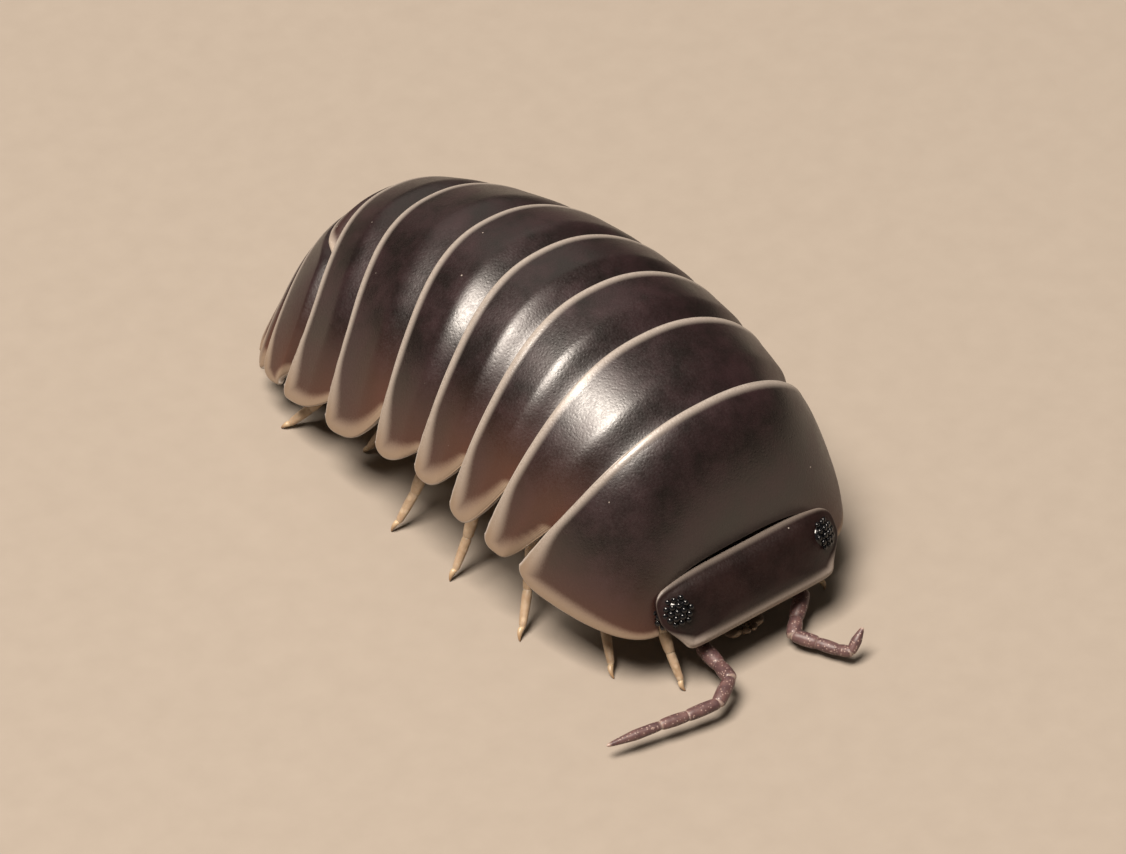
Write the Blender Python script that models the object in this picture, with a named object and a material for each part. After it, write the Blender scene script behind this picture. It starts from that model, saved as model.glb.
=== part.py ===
"""A pill woodlouse, life size, standing on its fourteen legs: a still model.

+Z is up, the head points to -Y and the animal's right side is -X. All sizes below are in
millimetres, with the floor at z = 0. They become metres where a mesh is made. The back is
one smooth surface, back_point(s, phi): s counts the rear margins from 0 (front margin of the
first body plate) to 11 (rear margin of the last tail plate), and phi runs from -90 degrees
(left lower edge) over the crest to +90 (right lower edge).
"""

import math

import bmesh
import bpy
import numpy as np

MM = 0.001
GAP = 0.3
CENTRE = (-0.38, -1.63, 0.0)

CREST_TOP = (-1.7, 7.38)
CREST_FALL = 0.037
CREST_START = -6.98
BODY_PLATE_LENGTHS = (2.30, 1.96, 1.94, 2.13, 2.44, 1.74)
BODY_PLATES = 7
TIP_TOP = (-1.5, 2.20)
TIP_FALL = 0.030
TIP_START = -5.00
TIP_STEPS = (1.10, 1.34, 1.49, 1.57, 2.23, 2.11)
HALF_WIDTHS = (4.36, 4.50, 4.48, 4.43, 4.41, 4.31, 4.11)
BOW_FIRST, BOW_LAST = 0.25, 0.85
BOW_SHARE = 1.3
ARCH_POWER = 2.22
LOBE_DROPS = (0.10, 0.14, 0.06, -0.04, 0.02, 0.18, 0.02)
# Lobe by lobe: height of the notch above the lobe, power of the curve down to it, lift of the lobe
# above the margin's tip and radius of its rear corner.
LOBES = ((0.0, 1.0, 0.06, 0.60), (2.20, 5.0, 0.36, 0.36), (2.25, 2.6, 0.26, 0.34), (1.65, 2.3, 0.32, 0.36),
         (0.95, 1.8, 0.12, 0.40), (1.55, 2.9, 0.02, 0.50), (0.72, 2.5, 0.16, 0.45))
FRONT_FALL = 0.8
FLANK_PHI = math.radians(80)
HIGHEST_EDGE = 0.98

TAIL_PLATES = ("pleonites_1_2", "pleonite_3", "pleonite_4", "pleonite_5")
TAIL_CREST = ((6.25, 4.66), (6.70, 4.12), (7.10, 3.52), (7.45, 2.92))
TAIL_TIPS = ((5.10, 1.18), (5.95, 0.92), (6.65, 0.80), (7.25, 0.72))
TAIL_HALF_WIDTHS = (4.02, 3.85, 3.45, 2.95)
TAIL_BOWS = (0.55, 0.50, 0.45, 0.40)
TAIL_LOBES = ((2.9, 0.0, 0.0, 0.10), (0.75, 2.2, 0.0, 0.45), (0.55, 2.2, 0.0, 0.35),
              (0.45, 2.2, 0.0, 0.30))

COLLAR_TOP = (-8.52, 3.22)
COLLAR_CORNER = (3.14, -8.84, 1.42)
COLLAR_TUCK, TUCK_POWER = 0.20, 12
COLLAR_POWER = 2.45
COLLAR_PULL = (1.0, 2.4, 1.05)
COLLAR_FALL, COLLAR_LEAN, COLLAR_FLARE = 0.32, 0.12, 12

# Each plate ends in a thin lip behind and is sunk under the lip of the plate before it in front.
LIP_THICK, LIP_EDGE, LIP_LENGTH, LIP_SHARE = 0.30, 0.15, 0.78, 0.42
LIP_GAPS = 1.7
LIP_PLACES, FIRST_LIP_PLACES = (0.82, 0.93, 1.0), (0.90, 0.96, 1.0)
FRONT_DEPTH, FRONT_WALL, NECK_DEPTH, HOOK_DEPTH, SHOULDER_DEPTH = 0.66, 0.78, 0.50, 0.32, 0.10
HOOK_PLACE, BODY_SHOULDER, TAIL_SHOULDER, SHOULDER_LENGTH = 0.12, 0.28, 0.40, 0.14
FIRST_PLACES = (0.0, 0.12, 0.3, 0.5)
FIRST_WALLS = ((0.0, 0.15), (0.12, 0.30), (0.3, 0.40))
PLATE_WALL = 0.60
BELLY_RISE, NECK_RISE = 1.15, 0.40
ARCH_STEPS = 26
BODY_AXIS_HEIGHT = 2.0
NORMAL_LIMIT, NORMAL_STEP, FIRST_NORMAL = math.radians(86), 0.02, 0.03
BELLY_SEARCH, BELLY_SEARCH_STEPS = math.radians(88), 24
SHARP_ANGLE = math.radians(35)

HEAD_MIDDLE = (-9.06, 2.05)
HEAD_LEAN = math.radians(58.5)
HEAD_HALF = 2.82
HEAD_NECK_HALF = 1.90
HEAD_FACE = 0.94
HEAD_CROWN = 0.34
HEAD_POWER = 3.0
HEAD_NECK = ((-8.15, 2.45), (-7.92, 1.75), (-8.25, 1.05), (-8.85, 0.85), (-9.28, 1.02))
HEAD_FACE_POINTS, HEAD_RINGS, HEAD_TURN, HEAD_SET_IN = 7, 17, 1.45, 0.15
EYE_CENTRE = (2.30, -8.98, 2.18)
EYE_RADII = (0.40, 0.34, 0.38)
EYE_STEPS, SOCKET_STEPS = (12, 8), (16, 10)

MOUTH_MIDDLE, MOUTH_HALF = (-8.75, 0.36), (0.85, 0.45, 0.19)
MOUTH_RINGS, MOUTH_TURN, MOUTH_SIDES = 9, 1.3, 8

LEG_RADII = (0.34, 0.34, 0.30, 0.27, 0.22)
LEG_ROOT_X, LEG_ROOT_PLACES = 1.75, (0.3, 0.6)
FLOOR_CLEAR = 0.03
HIP_STEP = (0.28, 0.0, -0.42)
KNEE_SHARE, KNEE_DROP = (0.50, 0.42, 0.0), (0.0, 0.0, -0.75)
FRONT_KNEE_SHIFT = (0.27, 0.25, 0.0)
SHIN_SHARE = (0.58, 0.58, 0.68)
LIMB_SIDES, LIMB_TWIST = 8, (0.0, 1.0, 0.3)
FEET_RIGHT = ((2.45, -9.55), (3.55, -8.10), (4.50, -5.55), (4.45, -2.65), (4.42, -0.20), (3.05, 2.75),
              (4.12, 4.85))
FEET_LEFT = ((2.70, -8.80), (3.70, -6.90), (4.55, -4.60), (4.50, -2.00), (4.45, -0.60), (4.40, 2.90),
             (4.10, 5.40))

ANTENNA_RIGHT = ((-1.72, -9.42, 0.62), (-1.72, -9.95, 0.74), (-1.86, -10.55, 0.78), (-2.55, -10.92, 0.62),
                 (-3.40, -10.78, 0.58), (-4.10, -10.62, 0.56), (-5.50, -10.30, 0.46))
ANTENNA_LEFT = ((1.60, -9.42, 0.62), (1.05, -9.62, 0.52), (0.68, -9.98, 0.40), (0.98, -10.50, 0.36),
                (1.22, -11.00, 0.34), (1.38, -11.35, 0.42), (1.80, -11.25, 0.85))
ANTENNA_RADII = (0.28, 0.28, 0.27, 0.27, 0.25, 0.25, 0.14)

TELSON_START, TELSON_END = (0.0, 7.62, 2.62), (0.0, 8.12, 1.05)
TELSON_WIDTHS = (1.25, 0.95, 0.72, 0.78, 0.74)
UROPOD_START, UROPOD_END = (1.62, 7.45, 1.95), (1.45, 7.98, 0.80)
UROPOD_WIDTHS, UROPOD_TILT = (0.42, 0.46, 0.44, 0.34), math.radians(25)
PLEOPOD_START, PLEOPOD_END, PLEOPOD_WIDTHS = (0.0, 5.2, 1.65), (0.0, 7.0, 1.25), (2.0, 2.1, 1.8, 1.1)
TELSON_CROWN, UROPOD_CROWN, PLEOPOD_CROWN = 0.28, 0.2, 0.05
LEAF_THICK, LEAF_STEPS = 0.5, 7


def clear_scene():
    for item in list(bpy.data.objects):
        bpy.data.objects.remove(item, do_unlink=True)


def material(name, rgb, roughness):
    finish = bpy.data.materials.get(name)
    if finish:
        return finish
    finish = bpy.data.materials.new(name)
    finish.use_nodes = True
    shader = finish.node_tree.nodes["Principled BSDF"]
    shader.inputs["Base Color"].default_value = (*rgb, 1.0)
    shader.inputs["Roughness"].default_value = roughness
    shader.inputs["Metallic"].default_value = 0.0
    return finish


def plate_material():
    return material("dark_plate", (0.022, 0.016, 0.020), 0.32)


def head_material():
    return material("dark_head", (0.018, 0.014, 0.018), 0.35)


def leg_material():
    return material("pale_leg", (0.52, 0.40, 0.28), 0.45)


def antenna_material():
    return material("brown_antenna", (0.16, 0.09, 0.10), 0.45)


def eye_material():
    return material("black_eye", (0.004, 0.004, 0.005), 0.12)


def add_object(name, points, faces, finish):
    """One object from points in mm and faces of any size, its normals facing outwards."""
    mesh = bpy.data.meshes.new(name)
    mesh.from_pydata([tuple(point) for point in (np.asarray(points) - CENTRE) * MM], [], faces)
    shape = bmesh.new()
    shape.from_mesh(mesh)
    bmesh.ops.recalc_face_normals(shape, faces=shape.faces)
    if shape.calc_volume(signed=True) < 0:
        bmesh.ops.reverse_faces(shape, faces=shape.faces)
    shape.to_mesh(mesh)
    shape.free()
    mesh.shade_smooth()
    mesh.set_sharp_from_angle(angle=SHARP_ANGLE)
    mesh.materials.append(finish)
    item = bpy.data.objects.new(name, mesh)
    bpy.context.scene.collection.objects.link(item)
    return item


def skin(name, rings, finish, caps=None):
    """Joins rings of equal count into a tube. caps lists the faces of an end, or None for one flat face."""
    rings = np.asarray(rings, float)
    count, around = rings.shape[:2]
    faces = []
    for i in range(count - 1):
        for j in range(around):
            k = (j + 1) % around
            low, high = i * around, (i + 1) * around
            faces.append((low + j, low + k, high + k))
            faces.append((low + j, high + k, high + j))
    last = (count - 1) * around
    for face in caps or [tuple(range(around))]:
        faces.append(tuple(face))
        faces.append(tuple(last + corner for corner in reversed(face)))
    return add_object(name, rings.reshape(-1, 3), faces, finish)


def margin_rows():
    """Crest y and z, tip y and z, half-width and bow of each rear margin, 1 to 11."""
    crest_y = CREST_START + np.concatenate([[0.0], np.cumsum(BODY_PLATE_LENGTHS)])
    crest_z = CREST_TOP[1] - CREST_FALL * (crest_y - CREST_TOP[0]) ** 2
    tip_y = TIP_START + np.concatenate([[0.0], np.cumsum(TIP_STEPS)])
    tip_z = TIP_TOP[1] - TIP_FALL * (tip_y - TIP_TOP[0]) ** 2 - np.array(LOBE_DROPS)
    bow = np.linspace(BOW_FIRST, BOW_LAST, BODY_PLATES)
    body = np.stack([crest_y, crest_z, tip_y, tip_z, np.array(HALF_WIDTHS), bow], axis=1)
    tail = np.column_stack([np.array(TAIL_CREST), np.array(TAIL_TIPS), TAIL_HALF_WIDTHS, TAIL_BOWS])
    return np.vstack([body, tail])


ROWS = margin_rows()


def row_at(s):
    """The margin's sizes at any s of 1 or more, by a Catmull-Rom curve through the rows."""
    place = min(max(s - 1.0, 0.0), len(ROWS) - 1.0)
    i = min(int(place), len(ROWS) - 2)
    t = place - i
    before = ROWS[i - 1] if i else 2 * ROWS[0] - ROWS[1]
    after = ROWS[i + 2] if i + 2 < len(ROWS) else 2 * ROWS[-1] - ROWS[-2]
    a, b = ROWS[i], ROWS[i + 1]
    return 0.5 * (2 * a + (b - before) * t + (2 * before - 5 * a + 4 * b - after) * t ** 2
                  + (3 * a - before - 3 * b + after) * t ** 3)


def margin_point(row, phi):
    """A superellipse arch between crest and tips, bowed forward between the two."""
    crest_y, crest_z, tip_y, tip_z, half_width, bow = row
    side = abs(math.sin(phi))
    across = side ** (2 / ARCH_POWER)
    up = abs(math.cos(phi)) ** (2 / ARCH_POWER)
    x = -math.copysign(half_width * across, phi)
    y = crest_y * up + tip_y * (1 - up) - BOW_SHARE * bow * abs(math.sin(2 * phi)) * side
    return np.array([x, y, crest_z * up + tip_z * (1 - up)])


def collar_point(phi):
    """The front margin of the first plate: a squarer arch over the back of the head."""
    corner_x, corner_y, corner_z = COLLAR_CORNER
    across = abs(math.sin(phi)) ** (2 / COLLAR_POWER)
    up = abs(math.cos(phi)) ** (2 / COLLAR_POWER)
    y = COLLAR_TOP[0] * up + corner_y * (1 - up)
    z = COLLAR_TOP[1] * up + corner_z * (1 - up)
    x = corner_x * across - COLLAR_TUCK * abs(math.sin(phi)) ** TUCK_POWER
    return np.array([-math.copysign(x, phi), y, z])


def first_plate_point(s, phi):
    """A Bezier curve from the first rear margin (s = 1) forward to the collar (s = 0)."""
    start, end = margin_point(ROWS[0], phi), collar_point(phi)
    side, top = abs(math.sin(phi)), abs(math.cos(phi))
    pull_top, pull_side, pull_end = COLLAR_PULL
    forward = np.array([0.0, -1.0, -COLLAR_FALL * top])
    outward = np.array([-math.copysign(side ** COLLAR_FLARE, phi), -COLLAR_LEAN * top, top])
    near = start + forward * (pull_top * top + pull_side * side ** 3 * (1 - top))
    far = end + outward * pull_end
    t = 1.0 - s
    return (start * (1 - t) ** 3 + 3 * near * t * (1 - t) ** 2 + 3 * far * t ** 2 * (1 - t) + end * t ** 3)


def back_point(s, phi, depth=0.0):
    """A point of the back, moved inwards by depth along the surface's normal."""
    def surface(at_s, at_phi):
        if at_s < 1:
            return first_plate_point(at_s, at_phi)
        return margin_point(row_at(at_s), at_phi)
    point = surface(s, phi)
    if depth == 0:
        return point
    held = max(-NORMAL_LIMIT, min(NORMAL_LIMIT, phi))
    inside = max(s, FIRST_NORMAL)
    along = surface(inside + NORMAL_STEP, held) - surface(inside - NORMAL_STEP, held)
    around = surface(s, held + NORMAL_STEP) - surface(s, held - NORMAL_STEP)
    normal = np.cross(around, along)
    normal /= np.linalg.norm(normal)
    away = point - np.array([0.0, max(point[1], CREST_START), BODY_AXIS_HEIGHT])
    if normal @ away < 0:
        normal = -normal
    return point - depth * normal


def lower_limit(u, index, lobe):
    """The phi where a plate ends below: a lobe, round behind, that rises to the notch in front of it.

    The height falls from the notch as rise (1 - u/w)^power, where w is the lobe's lowest place and
    the start of the quarter circle. A power of 0 keeps the whole edge at the notch's height.
    """
    rise, power, lift, radius = lobe
    row = ROWS[index - 1]
    share = radius / float(np.linalg.norm(back_point(index, FLANK_PHI) - back_point(index - 1, FLANK_PHI)))
    front = max(0.0, 1.0 - max(u, 0.0) / (1.0 - share))
    corner = max(0.0, (u - 1.0 + share) / share)
    above = lift + rise * front ** power + radius * (1 - math.sqrt(max(0.0, 1 - corner ** 2)))
    above -= min(u, 0.0) * FRONT_FALL
    return math.acos(min(HIGHEST_EDGE, above / (row[1] - row[3])) ** (ARCH_POWER / 2))


def belly_level(s):
    """Height of the flat underside at margin s, which rises a little towards the neck."""
    return row_at(max(s, 1.0))[3] + BELLY_RISE + NECK_RISE * max(0.0, 1.0 - s)


def belly_point(s, t, limit, depth):
    """The inner side of the lobe below belly level, and the flat belly between the two lobes."""
    level = belly_level(s)
    phi = t * limit
    point = back_point(s, phi, depth)
    if point[2] <= level:
        return point
    low, high = 0.0, BELLY_SEARCH
    for _ in range(BELLY_SEARCH_STEPS):
        middle = (low + high) / 2
        if back_point(s, middle, depth)[2] > level:
            low = middle
        else:
            high = middle
    edge = back_point(s, low, depth)
    return np.array([-abs(edge[0]) * phi / low, edge[1], level])


def plate_stations(index):
    """A plate's (place, outer depth) pairs, the number of the lip's first one, and the inner side's pairs.

    The last list gives, for each inner pair, the number of the outer pair at the same place.
    """
    rear = 1.0 - lip_length(index) / crest_length(index)
    if index == 1:
        places = [(u, 0.0) for u in FIRST_PLACES + (rear,) + FIRST_LIP_PLACES]
        return places, 4, [*FIRST_WALLS, (rear, PLATE_WALL)], (0, 1, 2, 4)
    front = -(lip_length(index - 1) - LIP_GAPS * GAP) / crest_length(index - 1)
    shoulder = BODY_SHOULDER if index <= BODY_PLATES else TAIL_SHOULDER
    places = [(front, FRONT_DEPTH), (0.0, NECK_DEPTH), (HOOK_PLACE, HOOK_DEPTH), (shoulder, SHOULDER_DEPTH),
              (shoulder + SHOULDER_LENGTH, 0.0), (rear, 0.0)]
    places += [(u, 0.0) for u in LIP_PLACES]
    return places, 5, [(front, FRONT_WALL), (shoulder, PLATE_WALL), (rear, PLATE_WALL)], (0, 3, 5)


def lip_length(index):
    """How far a plate's thin rear lip reaches over the plate behind it."""
    return min(LIP_LENGTH, LIP_SHARE * crest_length(index))


def plate_cap(outer, lip, belly_at):
    """Triangles that close the end of a plate's outline, between its outer and its inner points."""
    edge, root = outer, outer + 1
    inner = [outer + 2 + k for k in range(len(belly_at))][::-1]
    faces = [tuple(range(lip, outer)) + (edge, root), (lip, root, inner[-1])]
    for k in range(len(belly_at) - 1):
        first, second = belly_at[k], belly_at[k + 1]
        faces.append(tuple(range(first, second + 1)) + (inner[k + 1], inner[k]))
    return faces


def plate(index, name, lobe):
    """A body or tail plate: a thin lip over the sunken front edge of the plate behind it."""
    places, lip, walls, belly_at = plate_stations(index)
    limit = {u: lower_limit(u, index, lobe) for u, _ in places}
    start = index - 1
    rings = []
    for t in np.linspace(-1, 1, ARCH_STEPS + 1):
        ring = [back_point(start + u, t * limit[u], depth) for u, depth in places]
        ring.append(back_point(start + 1, t * limit[1.0], LIP_EDGE))
        ring.append(back_point(start + places[lip][0], t * limit[places[lip][0]], LIP_THICK))
        ring += [belly_point(start + u, t, limit[u], depth) for u, depth in reversed(walls)]
        rings.append(ring)
    return skin(name, rings, plate_material(), plate_cap(len(places), lip, belly_at))


def crest_length(index):
    """Length of a plate along the crest."""
    return float(np.linalg.norm(back_point(index, 0.0) - back_point(index - 1, 0.0)))


def make_plates():
    for index, lobe in enumerate(LOBES, start=1):
        plate(index, f"pereonite_{index}", lobe)
    for index, (name, lobe) in enumerate(zip(TAIL_PLATES, TAIL_LOBES), start=BODY_PLATES + 1):
        plate(index, name, lobe)


def head_ring(x):
    """The head's outline in the y-z plane at x: crown plate, front rim, throat and neck."""
    shrink = max(0.0, 1.0 - abs(x / HEAD_HALF) ** HEAD_POWER) ** (1 / HEAD_POWER)
    along = np.array([math.cos(HEAD_LEAN), math.sin(HEAD_LEAN)])
    out = np.array([-along[1], along[0]])
    ring = []
    for a in np.linspace(-1, 1, HEAD_FACE_POINTS):
        ring.append(np.array(HEAD_MIDDLE) + along * a * HEAD_FACE + out * HEAD_CROWN * (1 - a * a))
    ring += [np.array(point) for point in HEAD_NECK]
    middle = np.array(HEAD_MIDDLE) - out * HEAD_SET_IN
    neck = max(0.01, 1.0 - abs(x / HEAD_NECK_HALF) ** HEAD_POWER)
    shrinks = [shrink] * HEAD_FACE_POINTS + [shrink * neck ** (1 / HEAD_POWER)] * len(HEAD_NECK)
    return [(x, *(middle + (point - middle) * size)) for point, size in zip(ring, shrinks)]


def make_head():
    rings = [head_ring(HEAD_HALF * math.sin(a)) for a in np.linspace(-HEAD_TURN, HEAD_TURN, HEAD_RINGS)]
    head = skin("head", rings, head_material())
    for side, name in ((-1, "eye_right"), (1, "eye_left")):
        socket = ball("socket", side, [radius + GAP for radius in EYE_RADII], *SOCKET_STEPS)
        cut = head.modifiers.new("socket", "BOOLEAN")
        cut.operation = "DIFFERENCE"
        cut.solver = "EXACT"
        cut.object = socket
        bpy.context.view_layer.update()
        seen = head.evaluated_get(bpy.context.evaluated_depsgraph_get())
        carved = bpy.data.meshes.new_from_object(seen)
        head.modifiers.clear()
        head.data = carved
        bpy.data.objects.remove(socket, do_unlink=True)
        ball(name, side, EYE_RADII, *EYE_STEPS)


def ball(name, side, radii, around, up):
    """An ellipsoid at the eye's place on one side of the head."""
    points = [(0.0, 0.0, -1.0)]
    for i in range(1, up):
        level = math.pi * i / up
        wide = math.sin(level)
        for j in range(around):
            turn = math.tau * j / around
            points.append((wide * math.cos(turn), wide * math.sin(turn), -math.cos(level)))
    points.append((0.0, 0.0, 1.0))
    faces = [(0, 1 + (j + 1) % around, 1 + j) for j in range(around)]
    for i in range(up - 2):
        for j in range(around):
            k, low = (j + 1) % around, 1 + i * around
            faces.append((low + j, low + k, low + around + k, low + around + j))
    top = len(points) - 1
    faces += [(top - around + j, top - around + (j + 1) % around, top) for j in range(around)]
    centre = np.array(EYE_CENTRE) * (side, 1, 1)
    return add_object(name, centre + np.array(points) * radii, faces, eye_material())


def make_mouth():
    rings = []
    for a in np.linspace(-MOUTH_TURN, MOUTH_TURN, MOUTH_RINGS):
        x, size = MOUTH_HALF[0] * math.sin(a), math.cos(a)
        ring = []
        for b in np.arange(MOUTH_SIDES) * math.tau / MOUTH_SIDES:
            ring.append((x, MOUTH_MIDDLE[0] + MOUTH_HALF[1] * size * math.cos(b),
                         MOUTH_MIDDLE[1] + MOUTH_HALF[2] * size * math.sin(b)))
        rings.append(ring)
    skin("mouthparts", rings, leg_material())


def smooth_path(corners, steps):
    """Points of a Catmull-Rom curve through the corners."""
    corners = np.asarray(corners, float)
    ends = np.vstack([2 * corners[0] - corners[1], corners, 2 * corners[-1] - corners[-2]])
    points = []
    for i in range(len(corners) - 1):
        a, b, c, d = ends[i:i + 4]
        for t in np.arange(steps) / steps:
            points.append(0.5 * (2 * b + (c - a) * t + (2 * a - 5 * b + 4 * c - d) * t ** 2
                                 + (3 * b - a - 3 * c + d) * t ** 3))
    points.append(corners[-1])
    return np.array(points)


def tube(name, corners, radii, steps, finish, level_ends=(False, False)):
    """A round limb along a smooth path. A level end lies in a horizontal plane."""
    path = smooth_path(corners, steps)
    places = np.linspace(0, len(radii) - 1, len(path))
    sizes = np.interp(places, np.arange(len(radii)), radii)
    heading = np.gradient(path, axis=0)
    heading /= np.linalg.norm(heading, axis=1)[:, None]
    across = np.cross(heading[0], LIMB_TWIST)
    rings = []
    for i, point in enumerate(path):
        level = (i == 0 and level_ends[0]) or (i == len(path) - 1 and level_ends[1])
        forward = np.array([0.0, 0.0, math.copysign(1.0, heading[i][2])]) if level else heading[i]
        across = across - forward * (across @ forward)
        across /= np.linalg.norm(across)
        beside = np.cross(forward, across)
        turns = np.arange(LIMB_SIDES) * math.tau / LIMB_SIDES
        ring = np.array([point + sizes[i] * (math.cos(a) * across + math.sin(a) * beside) for a in turns])
        if not level:
            ring[:, 2] = np.maximum(ring[:, 2], FLOOR_CLEAR)
        rings.append(ring)
    return skin(name, rings, finish)


def make_leg(index, side, foot):
    """A leg from the flat belly, out to a knee inside the lobe and down to a small flat on the floor."""
    belly = [belly_point(index - 1 + u, 0.0, FLANK_PHI, PLATE_WALL) for u in LEG_ROOT_PLACES]
    root_y = (belly[0][1] + belly[1][1]) / 2
    root_z = min(belly[0][2], belly[1][2]) - GAP
    foot = np.array([foot[0], foot[1], 0.0])
    root = np.array([LEG_ROOT_X, root_y, root_z])
    hip = root + HIP_STEP
    knee = root + (foot - root) * KNEE_SHARE + KNEE_DROP
    if index == 1:
        knee += FRONT_KNEE_SHIFT
    shin = knee + (foot - knee) * SHIN_SHARE
    corners = np.array([root, hip, knee, shin, foot]) * (side, 1, 1)
    name = f"leg_{'right' if side < 0 else 'left'}_{index}"
    tube(name, corners, LEG_RADII, 2, leg_material(), (True, True))


def make_legs():
    for side, feet in ((-1, FEET_RIGHT), (1, FEET_LEFT)):
        for index, foot in enumerate(feet, start=1):
            make_leg(index, side, foot)


def make_antennae():
    for name, corners in (("antenna_right", ANTENNA_RIGHT), ("antenna_left", ANTENNA_LEFT)):
        tube(name, corners, ANTENNA_RADII, 3, antenna_material())


def leaf(name, start, end, widths, crown, tilt, finish):
    """A plate from start to end with half-widths along it, arched by crown and turned by tilt."""
    start, end = np.array(start), np.array(end)
    forward = (end - start) / np.linalg.norm(end - start)
    across = np.cross(forward, (0.0, 0.0, 1.0))
    across /= np.linalg.norm(across)
    up = np.cross(across, forward)
    across = across * math.cos(tilt) + up * math.sin(tilt)
    up = np.cross(across, forward)
    rings = []
    across_steps = np.linspace(-1, 1, LEAF_STEPS)
    for v in np.linspace(0, 1, LEAF_STEPS):
        half = np.interp(v, np.linspace(0, 1, len(widths)), widths)
        middle = start + (end - start) * v
        top = [middle + across * half * a + up * crown * half * (1 - a * a) for a in across_steps]
        rings.append(top + [point - up * LEAF_THICK for point in reversed(top)])
    return skin(name, rings, finish)


def make_tail_end():
    leaf("telson", TELSON_START, TELSON_END, TELSON_WIDTHS, TELSON_CROWN, 0.0, plate_material())
    for side, name in ((-1, "uropod_right"), (1, "uropod_left")):
        start, end = np.array(UROPOD_START) * (side, 1, 1), np.array(UROPOD_END) * (side, 1, 1)
        leaf(name, start, end, UROPOD_WIDTHS, UROPOD_CROWN, side * UROPOD_TILT, plate_material())
    leaf("pleopods", PLEOPOD_START, PLEOPOD_END, PLEOPOD_WIDTHS, PLEOPOD_CROWN, 0.0, leg_material())


clear_scene()
make_plates()
make_head()
make_mouth()
make_legs()
make_antennae()
make_tail_end()
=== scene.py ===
"""The looks of a life-size pill woodlouse: fine shell plates, head, feelers, legs and underside.

Sizes are in millimetres in the maker's own frame: floor at z = 0, head towards -Y, the animal's
right side at -X. put_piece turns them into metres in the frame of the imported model. The back is
one surface, back_surface(s, phi): s counts the rear margins, from 0 at the front of the first
body plate to 11 at the rear of the last tail plate, and phi runs from -90 degrees at the left
lower edge over the crest to +90 degrees at the right lower edge.
"""

import math

import bpy
import numpy as np
from mathutils import Matrix, Vector


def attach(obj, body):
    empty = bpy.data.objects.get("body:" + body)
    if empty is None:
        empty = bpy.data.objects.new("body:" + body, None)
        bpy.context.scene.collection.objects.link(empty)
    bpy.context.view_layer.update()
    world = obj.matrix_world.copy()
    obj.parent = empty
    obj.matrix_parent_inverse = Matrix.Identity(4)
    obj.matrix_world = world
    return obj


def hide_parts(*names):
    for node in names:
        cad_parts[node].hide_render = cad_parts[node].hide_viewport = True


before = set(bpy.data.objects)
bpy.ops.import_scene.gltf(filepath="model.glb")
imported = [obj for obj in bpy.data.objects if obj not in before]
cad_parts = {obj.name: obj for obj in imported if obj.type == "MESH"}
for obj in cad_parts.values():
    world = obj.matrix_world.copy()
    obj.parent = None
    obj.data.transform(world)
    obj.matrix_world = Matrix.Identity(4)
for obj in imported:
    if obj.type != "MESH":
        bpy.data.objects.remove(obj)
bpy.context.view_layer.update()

MM = 0.001
CENTRE = (-0.38, -1.63, 0.0)

# The photo's view, found from the animal's own symmetry.
FRAME_WIDTH = 1126
CAMERA_AZIMUTH, CAMERA_ELEVATION = math.radians(-38.72), math.radians(39.63)
CAMERA_DISTANCE = 180.0
CAMERA_SHIFT = (1.035, 0.26)
CAMERA_TARGET = (0.38, 1.63, 0.7)
FOCAL_PIXELS = 7020.0
SENSOR = 36.0

# The arch of the back, margin by margin.
CREST_TOP = (-1.7, 7.38)
CREST_FALL = 0.037
CREST_START = -6.98
BODY_PLATE_LENGTHS = (2.30, 1.96, 1.94, 2.13, 2.44, 1.74)
BODY_PLATES = 7
TIP_TOP = (-1.5, 2.20)
TIP_FALL = 0.030
TIP_START = -5.00
TIP_STEPS = (1.10, 1.34, 1.49, 1.57, 2.23, 2.11)
HALF_WIDTHS = (4.36, 4.50, 4.48, 4.43, 4.41, 4.31, 4.11)
BOW_FIRST, BOW_LAST = 0.25, 0.85
BOW_SHARE = 1.3
ARCH_POWER = 2.22
LOBE_DROPS = (0.10, 0.14, 0.06, -0.04, 0.02, 0.18, 0.02)
# Lobe by lobe: height of the notch above the lobe, power of the curve down to it, lift of the lobe
# above the margin's tip and radius of its rear corner.
LOBES = ((0.0, 1.0, 0.06, 0.60), (2.20, 5.0, 0.36, 0.36), (2.25, 2.6, 0.26, 0.34), (1.65, 2.3, 0.32, 0.36),
         (0.95, 1.8, 0.12, 0.40), (1.55, 2.9, 0.02, 0.50), (0.72, 2.5, 0.16, 0.45))
FRONT_FALL = 0.8

TAIL_CREST = ((6.25, 4.66), (6.70, 4.12), (7.10, 3.52), (7.45, 2.92))
TAIL_TIPS = ((5.10, 1.18), (5.95, 0.92), (6.65, 0.80), (7.25, 0.72))
TAIL_HALF_WIDTHS = (4.02, 3.85, 3.45, 2.95)
TAIL_BOWS = (0.55, 0.50, 0.45, 0.40)
TAIL_LOBES = ((2.75, 0.0, 0.0, 0.10), (0.75, 2.2, 0.0, 0.55), (0.55, 2.2, 0.0, 0.40), (0.45, 2.2, 0.0, 0.30))
FLANK_TURN = (math.radians(12), math.radians(39))
FLANK_PHI = math.radians(80)
TAIL_NODES = ("pleonites_1_2", "pleonite_3", "pleonite_4", "pleonite_5")

# The first plate's front margin: crest y and z, lower corner, its tuck and the arch's power. Then
# the pulls and slopes of the curves that reach it, and the power that keeps the turn to the corner.
COLLAR_TOP = (-8.60, 2.94)
COLLAR_CORNER = (2.88, -8.87, 1.40)
COLLAR_TUCK, COLLAR_POWER = 0.20, 3.1
COLLAR_PULL = (1.0, 2.4, 1.05)
COLLAR_SLOPES, COLLAR_CORNERING = (-0.32, -0.12), 12

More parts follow.
